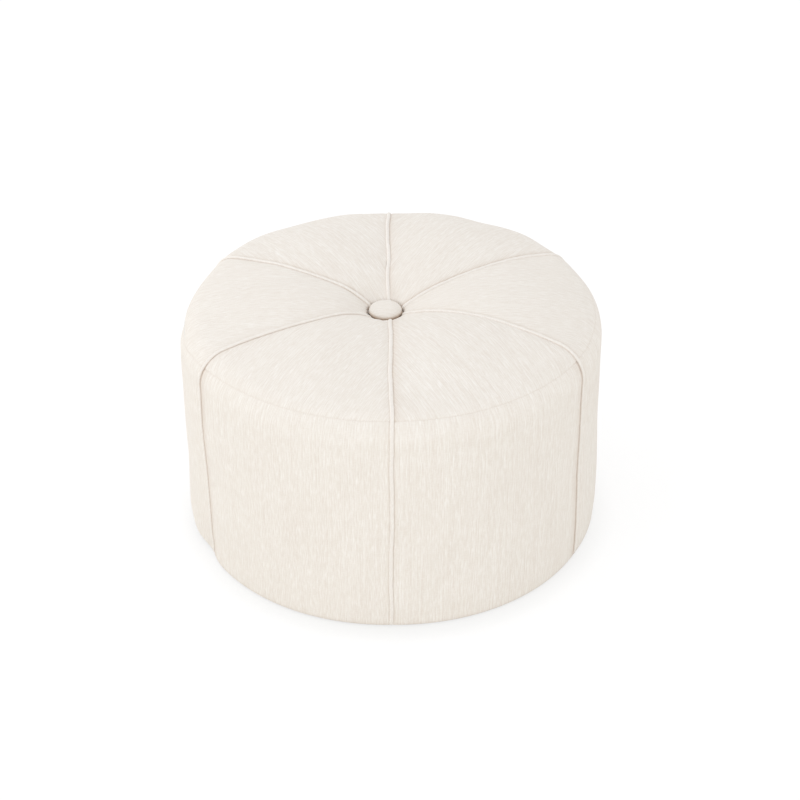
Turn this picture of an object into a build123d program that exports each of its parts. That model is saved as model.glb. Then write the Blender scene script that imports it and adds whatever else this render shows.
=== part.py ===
from build123d import *

import os
from math import asin, atan2, cos, hypot, pi, radians, sin, sqrt

# Round upholstered drum ottoman with a softly crowned top in six segments.
# A plywood base ring and top board stand apart on six softwood uprights inside a bent hardboard skin.
# Foam, fibre wadding and a felt wrap pad the drum. Six top panels meet six side panels in a plain
# seam on the shoulder, and six covered welts run from the button over the top and down the side.
# A covered button is drawn into the middle of the top by a twine, held under the board by a toggle.
# Millimetres, +Z up, origin on the floor under the middle of the drum, front towards -Y.

# Counts
PANELS = 6
LOFT_SHARES = (-1.0, -0.5, 0.0, 0.5, 1.0)  # places of a panel's sections, as shares of its half angle
SAME_POINT = 1e-6

# Cover, outer faces
side_radius = 318.5  # outer face of the side at a welt
cover_height = 374.6  # from the hem's underside to the crown's highest point along a welt
shoulder_radius = 48.0
apex_share = 0.53  # radius of the dome's highest ring, as a share of side_radius
dome_rise = 8.0  # of the dome above the top of the shoulder, along a welt
crown_rise = 9.0  # more, along the middle of a panel
panel_shift = 15.0  # of a side panel's own axis from the drum's, which makes it swell between its welts
seam_angle = 43.0  # degrees above level, where the seam lies on the shoulder
seam_gap = 0.4
panel_lap = 3.0  # degrees that a side panel is turned beyond its welts before it is trimmed
fabric = 1.2
bottom_corner = 5.0
hem_width = 28.0
welt_radius = 3.5
welt_gap = 0.2

# Button well in the middle of the crown
dimple_reach = 90.0  # radius at which the crown starts to fall towards the button
lip_radius = 9.0
lip_drop = 31.0  # of the lip's centre below the crown along a welt
tuck_depth = 2.6  # of the well's floor below the lip's centre
tuck_radius = 1.5
well_margin = 4.0  # between the button and the fabric around it
tuft_shift = 8.0  # the button is drawn this far off the middle, towards -X

# Button
button_radius = 24.5
button_height = 14.0
button_rim_radius = 6.0
button_metal = 1.0
button_flange = 7.0  # of the cover, turned in under the rim
button_seat_gap = 0.3
button_play = 0.1
eye_radius = 3.6  # of the wire's centre line
eye_wire_radius = 0.8

# Twine and toggle
twine_radius = 1.2
twine_clearance = 0.3
toggle_radius = 3.0
toggle_length = 40.0
twine_hole_radius = 7.0

# Padding
soft_gap = 0.6  # between the cover and what fills it
layer_gap = 0.3
wadding_thickness = 8.0  # over the foam's level top, where the shoulder starts
foam_edge_radius = 32.0
foam_inset = 1.0  # of the foam's edge inside the top board's
bowl_radius = 46.0  # of the level floor that the button presses into the foam
bowl_reach = 115.0  # radius at which the foam is back at its full height
bowl_cover = 5.0  # of wadding over the bowl's floor
wrap_clearance = 0.3

# Frame
skin_thickness = 3.0
wrap_thickness = 8.0
skin_joint = 3.0  # gap between the skin's two ends
board_thickness = 12.0
board_drop = 12.0  # of the top board's face below the foot of the shoulder
ring_thickness = 15.0
ring_width = 110.0
frame_gap = 0.2
upright_width = 44.0
upright_depth = 28.0

# Screws
screw_radius = 2.0
screw_length = 45.0
screw_head_radius = 4.2
screw_head_height = 2.6
screw_clearance = 0.05

# Underside
dust_cover_thickness = 0.6
dust_cover_inset = 15.0  # inside side_radius
glide_height = 5.0
glide_radius = 12.0
glide_bevel = 1.2
glide_inset = 28.0  # of a glide's middle inside side_radius
nail_radius = 1.3
nail_length = 14.0
nail_head_radius = 5.0
nail_head_height = 1.5
nail_clearance = 0.05
cut_overrun = 2.0

# Levels, worked out from the sizes above
hem_level = glide_height + dust_cover_thickness
ring_level = hem_level + fabric
crown_level = hem_level + cover_height
shoulder_level = crown_level - dome_rise - shoulder_radius
lip_level = crown_level - lip_drop
well_floor = lip_level - tuck_depth
board_top = shoulder_level - board_drop
board_bottom = board_top - board_thickness
wrap_bottom = hem_level + bottom_corner
foam_top = shoulder_level + shoulder_radius - fabric - soft_gap - wadding_thickness
bowl_level = well_floor - fabric - soft_gap - bowl_cover

# Radii, worked out from the sizes above
panel_radius = hypot(side_radius * cos(pi / PANELS) - panel_shift, side_radius * sin(pi / PANELS))
wrap_outer = side_radius - fabric - wrap_clearance
skin_outer = wrap_outer - wrap_thickness - frame_gap
frame_radius = skin_outer - skin_thickness - frame_gap
foam_radius = frame_radius - foam_inset
well_radius = button_radius + well_margin
upright_face = sqrt(frame_radius**2 - (upright_width / 2) ** 2)
screw_circle = upright_face - upright_depth / 2
glide_circle = side_radius - glide_inset

PANEL_ANGLE = 360 / PANELS
HALF_ANGLE = PANEL_ANGLE / 2
SEAM = radians(seam_angle)
SEAM_GAP_ANGLE = seam_gap / 2 / shoulder_radius


def polar(centre, radius, angle):
    """Point on a circle in a section's own plane, with the angle in radians."""
    return (centre[0] + radius * cos(angle), centre[1] + radius * sin(angle))


def direction(start, end):
    """Angle in radians of the way from start to end."""
    return atan2(end[1] - start[1], end[0] - start[0])


def arc(centre, radius, start_angle, end_angle):
    """Arc of under half a circle between two angles in radians."""
    middle = (start_angle + end_angle) / 2
    return ThreePointArc(
        polar(centre, radius, start_angle),
        polar(centre, radius, middle),
        polar(centre, radius, end_angle),
    )


def section_plane(azimuth):
    """Vertical plane through the drum's axis, whose x is the radius and whose y is the height."""
    a = radians(azimuth)
    return Plane(origin=(0, 0, 0), x_dir=(cos(a), sin(a), 0), z_dir=(sin(a), -cos(a), 0))


def chain(edges):
    """Closed face from edges that follow one another, with straight runs where two do not meet."""
    joined = []
    for number, edge in enumerate(edges):
        joined.append(edge)
        start = edge @ 1
        end = edges[(number + 1) % len(edges)] @ 0
        if (end - start).length > SAME_POINT:
            joined.append(Line(start, end))
    return make_face(Wire(joined))


def well_edge(azimuth):
    """Distance from the drum's axis to the wall of the button well, which is round about the shifted button."""
    a = radians(azimuth)
    return sqrt(well_radius**2 - (tuft_shift * sin(a)) ** 2) - tuft_shift * cos(a)


def fullness(share):
    """How far a panel swells at a share of its half angle: one in the middle, none at a welt."""
    return cos(pi / 2 * share)


def side_reach(share):
    """Distance from the drum's axis to the side panel's face at a share of the panel's half angle."""
    a = radians(share * HALF_ANGLE)
    return panel_shift * cos(a) + sqrt(panel_radius**2 - (panel_shift * sin(a)) ** 2)


def side_edges(radius, inset):
    """From the foot of the shoulder down the side and round the bottom corner."""
    corner = (radius - bottom_corner, hem_level + bottom_corner)
    return [
        Line((radius - inset, shoulder_level), (radius - inset, corner[1])),
        arc(corner, bottom_corner - inset, 0, -pi / 2),
    ]


def skirt_edges(radius, inset, start_angle):
    """From start_angle on the shoulder down the side and along the hem that turns under."""
    shoulder = arc((radius - shoulder_radius, shoulder_level), shoulder_radius - inset, start_angle, 0)
    side = side_edges(radius, inset)
    hem_end = (radius - bottom_corner - hem_width, hem_level + inset)
    return [shoulder, *side, Line(side[-1] @ 1, hem_end)]


class Meridian:
    """Outline of the top in one vertical plane: lip, dimple, dome and shoulder arcs, each tangent to the next."""

    def __init__(self, azimuth, share):
        rise = dome_rise + crown_rise * fullness(share)
        apex = apex_share * side_radius
        self.shoulder = (side_reach(share) - shoulder_radius, shoulder_level)
        reach = self.shoulder[0] - apex
        self.dome_radius = (reach**2 + rise**2) / (2 * rise) + shoulder_radius
        self.dome = (apex, shoulder_level + shoulder_radius + rise - self.dome_radius)
        self.lip = (well_edge(azimuth) + lip_radius, lip_level)
        self.dimple_start = pi / 2 - asin((dimple_reach - apex) / self.dome_radius)
        top = polar(self.dome, self.dome_radius, self.dimple_start)
        away = (self.lip[0] - top[0], self.lip[1] - top[1])
        along = away[0] * cos(self.dimple_start) + away[1] * sin(self.dimple_start)
        self.dimple_radius = (lip_radius**2 - hypot(*away) ** 2) / (2 * (along + lip_radius))
        self.dimple = polar(self.dome, self.dome_radius - self.dimple_radius, self.dimple_start)
        self.lip_end = direction(self.dimple, self.lip)
        self.dome_end = direction(self.dome, self.shoulder)

    def crown(self, inset, end_angle):
        """Arcs from the well's wall to end_angle on the shoulder, inset under the outer face."""
        return [
            arc(self.lip, lip_radius - inset, pi, self.lip_end),
            arc(self.dimple, self.dimple_radius - inset, self.lip_end, self.dimple_start),
            arc(self.dome, self.dome_radius - inset, self.dimple_start, self.dome_end),
            arc(self.shoulder, shoulder_radius - inset, self.dome_end, end_angle),
        ]

    def floor(self, inset, tip):
        """The well's floor from the radius tip outwards, and the small arc up to the well's wall."""
        corner = (self.lip[0] - lip_radius - tuck_radius, well_floor + tuck_radius)
        return [
            Line((tip, well_floor - inset), (corner[0], well_floor - inset)),
            arc(corner, tuck_radius + inset, -pi / 2, 0),
        ]


def reverse(edges):
    """The same edges walked the other way."""
    turned = []
    for edge in reversed(edges):
        if edge.geom_type == GeomType.LINE:
            turned.append(Line(edge @ 1, edge @ 0))
        else:
            turned.append(ThreePointArc(edge @ 1, edge @ 0.5, edge @ 0))
    return turned


def between_welts(azimuth):
    """Wedge-shaped cutter that leaves room for the welts at both edges of a panel."""
    reach = 2 * side_radius
    tip = (welt_radius + welt_gap) / sin(radians(HALF_ANGLE))
    corners = [polar((tip, 0), reach, radians(side * HALF_ANGLE)) for side in (-1, 1)]
    wedge = make_face(Polyline((tip, 0), *corners, close=True))
    tall = extrude(wedge, amount=crown_level + crown_rise + cut_overrun)
    return Rot(0, 0, azimuth) * tall


def twine_hole(radius):
    """Cutter on the button's axis through all that the twine passes."""
    return Pos(-tuft_shift, 0, 0) * Cylinder(radius, 2 * crown_level)


def top_panel(azimuth):
    """One segment of the top: crowned between its welts and drawn down at the button."""
    tip = twine_hole_radius / 2
    faces = []
    for share in LOFT_SHARES:
        angle = azimuth + share * HALF_ANGLE
        meridian = Meridian(angle, share)
        outer = meridian.floor(0, tip) + meridian.crown(0, SEAM + SEAM_GAP_ANGLE)
        inner = meridian.floor(fabric, tip) + meridian.crown(fabric, SEAM + SEAM_GAP_ANGLE)
        faces.append(section_plane(angle) * chain(outer + reverse(inner)))
    return loft(faces) & between_welts(azimuth) - twine_hole(twine_hole_radius)


def side_panel(azimuth):
    """One side piece from the seam down to the hem, turned about its own axis so that it swells a little."""
    outer = skirt_edges(panel_radius, 0, SEAM - SEAM_GAP_ANGLE)
    inner = skirt_edges(panel_radius, fabric, SEAM - SEAM_GAP_ANGLE)
    section = section_plane(-HALF_ANGLE - panel_lap) * chain(outer + reverse(inner))
    turned = revolve(section, Axis.Z, PANEL_ANGLE + 2 * panel_lap)
    return Rot(0, 0, azimuth) * Pos(panel_shift, 0, 0) * turned & between_welts(azimuth)


def welt_path(azimuth):
    """Middle line of a welt from the button well over the top and down to the bottom corner."""
    middle = fabric / 2
    edges = Meridian(azimuth, 1).crown(middle, 0) + side_edges(side_radius, middle)
    return section_plane(azimuth) * Wire(edges)


def welt(azimuth):
    """Fabric-covered piping cord, sunk to its middle in the seam between two panels."""
    path = welt_path(azimuth)
    return sweep(Plane(origin=path @ 0, z_dir=path % 0) * Circle(welt_radius), path=path)


def foam_outline(gap, start):
    """Top of the foam pad from the radius start to its edge, with gap added outwards."""
    edge = (foam_radius - foam_edge_radius, foam_top - foam_edge_radius)
    foot = (bowl_radius, bowl_level + gap)
    rim = (bowl_reach, foam_top + gap)
    return [
        Line((start, bowl_level + gap), foot),
        Line(foot, rim),
        Line(rim, (edge[0], foam_top + gap)),
        arc(edge, foam_edge_radius + gap, pi / 2, 0),
    ]


def foam_pad():
    """Firm foam disc on the top board, rounded at its edge and pressed in under the button."""
    outline = foam_outline(0, 0)
    foot = (foam_radius, board_top)
    edges = outline + [Line(outline[-1] @ 1, foot), Line(foot, (0, board_top))]
    return revolve(Plane.XZ * chain(edges)) - twine_hole(twine_hole_radius)


def crown_wadding():
    """Fibre wadding over the foam, level with the undersides of the welts."""
    inset = fabric / 2 + welt_radius + layer_gap
    top = Meridian(0, 1).crown(inset, 0)[2:]
    start = (well_radius + tuft_shift + lip_radius, well_floor - fabric - soft_gap)
    slope = [Line((0, start[1]), start), Line(start, top[0] @ 0)]
    section = chain(slope + top + reverse(foam_outline(layer_gap, 0)))
    return revolve(Plane.XZ * section) - twine_hole(twine_hole_radius)


def side_padding():
    """Felt wrap round the skin, grooved where the welts lie against it."""
    height = shoulder_level - layer_gap - wrap_bottom
    ring = Circle(wrap_outer) - Circle(wrap_outer - wrap_thickness)
    wrap = Pos(0, 0, wrap_bottom) * extrude(ring, amount=height)
    groove = Pos(side_radius - fabric / 2, 0, 0) * Cylinder(welt_radius + layer_gap, 2 * crown_level)
    for azimuth in welt_azimuths():
        wrap = wrap - Rot(0, 0, azimuth) * groove
    return wrap


def drum_skin():
    """Hardboard bent round the frame, its two ends butted on one upright."""
    ring = Circle(skin_outer) - Circle(skin_outer - skin_thickness)
    wall = Pos(0, 0, ring_level) * extrude(ring, amount=board_top - ring_level)
    joint = Pos(skin_outer, 0, 0) * Box(4 * skin_thickness, skin_joint, 3 * crown_level)
    return wall - Rot(0, 0, PANEL_ANGLE) * joint


def screw():
    """Countersunk wood screw, head upwards with its top at the origin."""
    head = Pos(0, 0, -screw_head_height / 2) * Cone(screw_radius, screw_head_radius, screw_head_height)
    shank_length = screw_length - screw_head_height
    shank = Pos(0, 0, -screw_head_height - shank_length / 2) * Cylinder(screw_radius, shank_length)
    return head + shank


def screw_hole():
    """Clearance for a screw, with its countersink."""
    radius = screw_radius + screw_clearance
    sink = Pos(0, 0, -screw_head_height / 2) * Cone(
        radius, screw_head_radius + screw_clearance, screw_head_height
    )
    shank = Pos(0, 0, -screw_length / 2) * Cylinder(radius, screw_length + screw_clearance)
    return sink + shank


def top_screw_place(azimuth):
    """A screw goes down into each upright through the top board."""
    return Rot(0, 0, azimuth) * Pos(screw_circle, 0, board_top)


def base_screw_place(azimuth):
    """A screw goes up into each upright through the base ring."""
    return Rot(0, 0, azimuth) * Pos(screw_circle, 0, ring_level) * Rot(180, 0, 0)


def top_board():
    """Plywood disc that carries the foam, drilled for the twine and the screws."""
    board = Pos(0, 0, (board_top + board_bottom) / 2) * Cylinder(frame_radius, board_thickness)
    for azimuth in upright_azimuths():
        board = board - top_screw_place(azimuth) * screw_hole()
    return board - twine_hole(twine_hole_radius)


def base_ring():
    """Plywood ring that the drum stands on, drilled for the screws and the glides' nails."""
    ring = Circle(frame_radius) - Circle(frame_radius - ring_width)
    solid = Pos(0, 0, ring_level) * extrude(ring, amount=ring_thickness)
    for azimuth in upright_azimuths():
        solid = solid - base_screw_place(azimuth) * screw_hole()
    return solid - glide_nail_holes()


def upright(azimuth):
    """Softwood post between the base ring and the top board."""
    bottom = ring_level + ring_thickness
    height = board_bottom - bottom
    post = Pos(upright_face - upright_depth / 2, 0, bottom + height / 2) * Box(
        upright_depth, upright_width, height
    )
    post = Rot(0, 0, azimuth) * post
    return post - top_screw_place(azimuth) * screw_hole() - base_screw_place(azimuth) * screw_hole()


def button_outline(inset):
    """Half outline of the covered button from its flange round the rim to the top, inset under its face."""
    base = well_floor + button_seat_gap
    rim = (button_radius - button_rim_radius, base + button_rim_radius)
    rise = button_height - button_rim_radius
    dome = (rim[0] ** 2 + rise**2 - button_rim_radius**2) / (2 * (rise - button_rim_radius))
    centre = (0, base + button_height - dome)
    meet = direction(centre, rim)
    return [
        Line((rim[0] - button_flange, base + inset), (rim[0], base + inset)),
        arc(rim, button_rim_radius - inset, -pi / 2, meet),
        arc(centre, dome - inset, meet, pi / 2),
    ]


def button_layer(outer, inner):
    """Shell of the button between two insets, turned about the button's axis."""
    face = chain(button_outline(outer) + reverse(button_outline(inner)))
    return Pos(-tuft_shift, 0, 0) * revolve(Plane.XZ * face)


def button_cover():
    """Fabric drawn over the button's shell and under its rim."""
    return button_layer(0, fabric)


def button_shell():
    """Pressed steel cap inside the button's cover."""
    return button_layer(fabric + button_play, fabric + button_play + button_metal)


def button_back():
    """Steel plate that closes the button and carries its wire eye."""
    layers = fabric + button_play + button_metal + button_play
    base = well_floor + button_seat_gap + layers
    radius = button_radius - button_rim_radius
    plate = Pos(0, 0, base + button_metal / 2) * Cylinder(radius, button_metal)
    ring = Rot(90, 0, 0) * Torus(eye_radius, eye_wire_radius)
    lower = Pos(0, 0, -eye_radius) * Box(4 * eye_radius, 4 * eye_radius, 2 * eye_radius)
    legs = base - eye_level()
    eye = Pos(0, 0, eye_level()) * (ring & lower)
    for side in (-1, 1):
        eye = eye + Pos(side * eye_radius, 0, eye_level() + legs / 2) * Cylinder(eye_wire_radius, legs)
    return Pos(-tuft_shift, 0, 0) * (plate + eye)


def eye_level():
    """Height of the centre of the eye's round end."""
    return well_floor


def twine_bend():
    """Radius of the twine's centre line round the toggle."""
    return toggle_radius + twine_radius + twine_clearance


def toggle_level():
    """Height of the toggle's middle, pulled up against the top board."""
    return board_bottom - toggle_radius - layer_gap


def tuft_twine():
    """Waxed twine, doubled: over the button's eye, down through the padding and under the toggle."""
    bend = twine_bend()
    eye_bottom = eye_level() - eye_radius
    top = eye_bottom + eye_wire_radius + twine_clearance + twine_radius - bend
    bottom = toggle_level()
    loop = Rot(0, 90, 0) * Torus(bend, twine_radius)
    half = Box(4 * bend, 4 * bend, 2 * bend)
    twine = Pos(0, 0, top) * (loop & Pos(0, 0, bend) * half)
    twine = twine + Pos(0, 0, bottom) * (loop & Pos(0, 0, -bend) * half)
    for side in (-1, 1):
        twine = twine + Pos(0, side * bend, (top + bottom) / 2) * Cylinder(twine_radius, top - bottom)
    return Pos(-tuft_shift, 0, 0) * twine


def tuft_toggle():
    """Short hardwood dowel across the twine hole, under the top board."""
    return Pos(-tuft_shift, 0, toggle_level()) * Rot(0, 90, 0) * Cylinder(toggle_radius, toggle_length)


def glide_places():
    """Middle of each glide's face on the floor, in line with a welt."""
    return [Rot(0, 0, azimuth) * Pos(glide_circle, 0, 0) for azimuth in welt_azimuths()]


def glide_nail():
    """Nail of a glide, standing on the origin's level in the glide's recess."""
    head = Pos(0, 0, nail_head_height / 2) * Cylinder(nail_head_radius, nail_head_height)
    shank_length = nail_length - nail_head_height
    shank = Pos(0, 0, nail_head_height + shank_length / 2) * Cylinder(nail_radius, shank_length)
    return Pos(0, 0, nail_head_level()) * (head + shank)


def nail_head_level():
    """The nail's head lies in the glide, half way up."""
    return glide_height / 2


def nail_hole():
    """Clearance for a glide's nail."""
    radius = nail_radius + nail_clearance
    return Pos(0, 0, nail_head_level() + nail_length / 2) * Cylinder(radius, nail_length + nail_clearance)


def glide_nail_holes():
    """Clearance for every glide's nail."""
    holes = [place * nail_hole() for place in glide_places()]
    return Compound(children=holes)


def glide(place):
    """Moulded nail-on glide with a bevelled edge."""
    disc = Pos(0, 0, glide_height / 2) * Cylinder(glide_radius, glide_height)
    disc = chamfer(disc.edges().sort_by(Axis.Z)[0], glide_bevel)
    head = Pos(0, 0, nail_head_level() + nail_head_height / 2) * Cylinder(
        nail_head_radius + nail_clearance, nail_head_height + 2 * nail_clearance
    )
    return place * (disc - head - nail_hole())


def dust_cover():
    """Thin black cloth that closes the underside over the hem."""
    radius = side_radius - dust_cover_inset
    sheet = Pos(0, 0, glide_height + dust_cover_thickness / 2) * Cylinder(radius, dust_cover_thickness)
    return sheet - glide_nail_holes()


def panel_azimuths():
    """Middle of each panel, from the right-hand side anticlockwise as seen from above."""
    return [number * PANEL_ANGLE for number in range(PANELS)]


def welt_azimuths():
    """A welt lies half way between two panels."""
    return [azimuth + HALF_ANGLE for azimuth in panel_azimuths()]


def upright_azimuths():
    """The uprights stand behind the middles of the panels."""
    return panel_azimuths()


def pieces():
    """Every piece of the ottoman by its name."""
    made = {
        "base_ring": base_ring(),
        "top_board": top_board(),
        "drum_skin": drum_skin(),
        "top_screws": Compound(children=[top_screw_place(a) * screw() for a in upright_azimuths()]),
        "base_screws": Compound(children=[base_screw_place(a) * screw() for a in upright_azimuths()]),
        "foam_pad": foam_pad(),
        "crown_wadding": crown_wadding(),
        "side_padding": side_padding(),
        "button_cover": button_cover(),
        "button_shell": button_shell(),
        "button_back": button_back(),
        "tuft_twine": tuft_twine(),
        "tuft_toggle": tuft_toggle(),
        "dust_cover": dust_cover(),
        "glide_nails": Compound(children=[place * glide_nail() for place in glide_places()]),
    }
    for number in range(PANELS):
        made[f"upright_{number + 1}"] = upright(upright_azimuths()[number])
        made[f"top_panel_{number + 1}"] = top_panel(panel_azimuths()[number])
        made[f"side_panel_{number + 1}"] = side_panel(panel_azimuths()[number])
        made[f"welt_{number + 1}"] = welt(welt_azimuths()[number])
        made[f"glide_{number + 1}"] = glide(glide_places()[number])
    return made


def main():
    """Write one STEP file per piece."""
    os.makedirs("parts", exist_ok=True)
    for name, shape in pieces().items():
        export_step(shape, f"parts/{name}.step")


main()
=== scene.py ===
import math

import bpy
import numpy as np
from bpy.props import FloatProperty, PointerProperty, StringProperty
from mathutils import Euler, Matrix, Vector


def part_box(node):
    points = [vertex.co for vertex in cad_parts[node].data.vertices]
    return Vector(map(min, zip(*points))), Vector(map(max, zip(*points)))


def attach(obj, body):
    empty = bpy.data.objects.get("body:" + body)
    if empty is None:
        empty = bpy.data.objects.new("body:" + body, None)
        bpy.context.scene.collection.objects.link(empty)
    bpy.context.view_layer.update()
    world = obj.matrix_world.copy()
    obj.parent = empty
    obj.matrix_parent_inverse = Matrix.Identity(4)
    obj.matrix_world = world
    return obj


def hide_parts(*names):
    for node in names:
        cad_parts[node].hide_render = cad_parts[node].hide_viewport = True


bl_info = {
    "name": "Welted drum ottoman",
    "version": (1, 0, 0),
    "blender": (4, 5, 0),
    "location": "3D View > Sidebar > Ottoman",
    "description": "Dresses the packed frame of a round drum ottoman in its linen cover",
    "category": "Object",
}

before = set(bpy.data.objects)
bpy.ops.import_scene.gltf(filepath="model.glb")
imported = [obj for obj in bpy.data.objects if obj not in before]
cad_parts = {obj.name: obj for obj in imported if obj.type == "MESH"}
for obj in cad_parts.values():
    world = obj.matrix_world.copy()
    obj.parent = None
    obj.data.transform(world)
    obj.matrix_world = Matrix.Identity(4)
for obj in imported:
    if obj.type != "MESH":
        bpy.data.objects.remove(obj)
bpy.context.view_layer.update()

MM = 0.001
PANELS = 6
PANEL_ANGLE = math.tau / PANELS
HALF_ANGLE = PANEL_ANGLE / 2
# The panels are numbered anticlockwise from +X, and welt n follows panel n.
PANEL_AZIMUTHS = [number * PANEL_ANGLE for number in range(PANELS)]
WELT_AZIMUTHS = [azimuth + HALF_ANGLE for azimuth in PANEL_AZIMUTHS]

# Thickness of the cloth and radius of a welt
FABRIC = 1.2 * MM
WELT_RADIUS = 3.5 * MM
# Sizes that the frame's nodes give
FRONT_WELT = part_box("welt_5")
TOP_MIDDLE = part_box("top_panel_1")
SIDE_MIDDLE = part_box("side_panel_1")
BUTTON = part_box("button_cover")
SIDE_RADIUS = -FRONT_WELT[0].y - WELT_RADIUS + FABRIC / 2
CROWN_LEVEL = FRONT_WELT[1].z - WELT_RADIUS + FABRIC / 2
CROWN_RISE = TOP_MIDDLE[1].z - CROWN_LEVEL
HEM_LEVEL = SIDE_MIDDLE[0].z
WELL_FLOOR = TOP_MIDDLE[0].z + FABRIC
BUTTON_X = (BUTTON[0].x + BUTTON[1].x) / 2
BUTTON_RADIUS = (BUTTON[1].x - BUTTON[0].x) / 2


# Settings


class OttomanCover(bpy.types.PropertyGroup):
    """Shape of the cover."""

    side_radius: FloatProperty(
        name="Side radius", description="Outer face of the side at a welt", default=SIDE_RADIUS, unit="LENGTH"
    )
    crown_level: FloatProperty(
        name="Crown level", description="Highest point along a welt", default=CROWN_LEVEL, unit="LENGTH"
    )
    crown_rise: FloatProperty(
        name="Crown rise", description="Height of a panel's middle above its welts", default=CROWN_RISE, unit="LENGTH"
    )
    dome_rise: FloatProperty(
        name="Dome rise", description="Rise of the top inside the shoulder", default=8 * MM, unit="LENGTH"
    )
    shoulder_radius: FloatProperty(
        name="Shoulder radius", description="Roundness of the top's edge", default=48 * MM, unit="LENGTH"
    )
    seam_angle: FloatProperty(
        name="Seam angle",
        description="How far up the shoulder the top meets the side",
        default=math.radians(43),
        subtype="ANGLE",
    )
    dimple_reach: FloatProperty(
        name="Dimple reach", description="Radius at which the top starts to fall", default=90 * MM, unit="LENGTH"
    )
    lip_radius: FloatProperty(
        name="Lip radius", description="Roundness of the well's edge", default=9 * MM, unit="LENGTH"
    )
    lip_drop: FloatProperty(
        name="Lip drop", description="Depth of the lip's centre under the crown", default=31 * MM, unit="LENGTH"
    )
    well_margin: FloatProperty(
        name="Well margin", description="Gap round the button", default=3.2 * MM, unit="LENGTH"
    )
    hem_width: FloatProperty(
        name="Hem width", description="Cloth turned in under the drum", default=28 * MM, unit="LENGTH"
    )
    crease_depth: FloatProperty(
        name="Crease depth", description="How far the cloth turns in beside a welt", default=2.4 * MM, unit="LENGTH"
    )
    crease_width: FloatProperty(
        name="Crease width", description="Width of the turn beside a welt", default=1.2 * MM, unit="LENGTH"
    )
    welt_sink: FloatProperty(
        name="Welt sink", description="Depth of a welt's middle under the face", default=1.6 * MM, unit="LENGTH"
    )
    seam_depth: FloatProperty(
        name="Seam depth", description="Depth of the turn at the shoulder seam", default=0.45 * MM, unit="LENGTH"
    )
    unevenness: FloatProperty(
        name="Unevenness", description="Height of the padding's soft bumps", default=1.1 * MM, unit="LENGTH"
    )


class OttomanCloth(bpy.types.PropertyGroup):
    """Colours of the cloth."""

    ground: StringProperty(name="Ground", description="Colour of the ground yarn, sRGB", default="#EEEAE3")
    slub: StringProperty(name="Slub", description="Colour of the thick pale yarns, sRGB", default="#F7F4F0")
    shade: StringProperty(name="Shade", description="Colour of the thin darker yarns, sRGB", default="#E3DBD2")
    # Colour of the painted shade mixed into the cloth in its creases and seams, round the button and along the hem
    painted_shade: StringProperty(name="Crease", description="Colour in the seams, sRGB", default="#AE8C6C")


class OttomanStage(bpy.types.PropertyGroup):
    """Camera, floor and light."""

    lens: FloatProperty(name="Lens", description="Focal length in mm on a 36 mm sensor", default=87.5)
    distance: FloatProperty(
        name="Distance", description="From the camera to the point it is aimed by", default=3.043, unit="LENGTH"
    )
    elevation: FloatProperty(
        name="Elevation", description="Angle that the camera looks down", default=math.radians(34.38), subtype="ANGLE"
    )
    aim_height: FloatProperty(
        name="Aim height", description="Height of the point in the drum's axis", default=190 * MM, unit="LENGTH"
    )
    yaw: FloatProperty(
        name="Yaw", description="Turn of the camera to its left", default=math.radians(-0.25), subtype="ANGLE"
    )
    roll: FloatProperty(
        name="Roll", description="Turn of the camera about its axis", default=math.radians(-0.55), subtype="ANGLE"
    )
    sky: FloatProperty(name="Sky", description="Strength of the even light", default=0.938)
    left_power: FloatProperty(name="Left softbox", description="Power in watts", default=15.0)
    right_power: FloatProperty(name="Right softbox", description="Power in watts", default=14.5)
    back_power: FloatProperty(name="Back softbox", description="Power in watts", default=14.0)
    shadow: FloatProperty(name="Shadow", description="Share of the floor's shadow that the camera sees", default=0.31)


# Small tools


def linear(code):
    """Linear colour with alpha from an sRGB hex code."""
    channels = [int(code[place : place + 2], 16) / 255 for place in (1, 3, 5)]
    return [c / 12.92 if c <= 0.04045 else ((c + 0.055) / 1.055) ** 2.4 for c in channels] + [1.0]


def add_node(tree, kind, settings=None, inputs=None):
    """Adds a shader node, sets its properties, and sets each input or links it to the socket given."""
    node = tree.nodes.new("ShaderNode" + kind)
    for name, value in (settings or {}).items():
        setattr(node, name, value)
    for place, value in (inputs or {}).items():
        if isinstance(value, bpy.types.NodeSocket):
            tree.links.new(value, node.inputs[place])
        else:
            node.inputs[place].default_value = value
    return node


def new_material(name):
    """Material and its node tree, which is empty."""
    material = bpy.data.materials.new(name)
    material.use_nodes = True
    material.node_tree.nodes.clear()
    return material, material.node_tree


def facing_out(points, faces):
    """The faces of a closed body, turned over if they face inwards."""
    corners = points[[[*face, face[-1]][:4] for face in faces]]
    first, second, third, fourth = np.moveaxis(corners, 1, 0)
    volume = (first * (np.cross(second, third) + np.cross(third, fourth))).sum()
    return faces if volume > 0 else [face[::-1] for face in faces]


def add_piece(name, node, slot, material, points, faces, cloth=None, painted_shade=None):
    """Smooth mesh object that stands for a node, with the cloth's own coordinates and the painted shade for its
    creases.
    """
    mesh = bpy.data.meshes.new(name)
    mesh.from_pydata(points, [], facing_out(points, faces))
    layers = (("cloth", "FLOAT_VECTOR", "vector", cloth), ("painted_shade", "FLOAT", "value", painted_shade))
    for layer, kind, key, values in layers:
        if values is not None:
            mesh.attributes.new(layer, kind, "POINT").data.foreach_set(key, values.astype(np.float32).ravel())
    mesh.polygons.foreach_set("use_smooth", [True] * len(mesh.polygons))
    mesh.materials.append(material)
    mesh.update()
    piece = bpy.data.objects.new(name, mesh)
    bpy.context.scene.collection.objects.link(piece)
    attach(piece, "root")
    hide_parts(node)
    return piece


def unit(vectors):
    """The same vectors at length one."""
    return vectors / np.linalg.norm(vectors, axis=-1, keepdims=True)


def fade(distance, width, power=1):
    """One at no distance and nothing past a few widths. A higher power gives it a rounder, flatter top."""
    return np.exp(-((distance / width) ** power))


def ramp(value, start, width, least=0):
    """Rises evenly from nothing at the start to one, this width further on, and is never under the least."""
    return np.clip((value - start) / width, least, 1)


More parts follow.
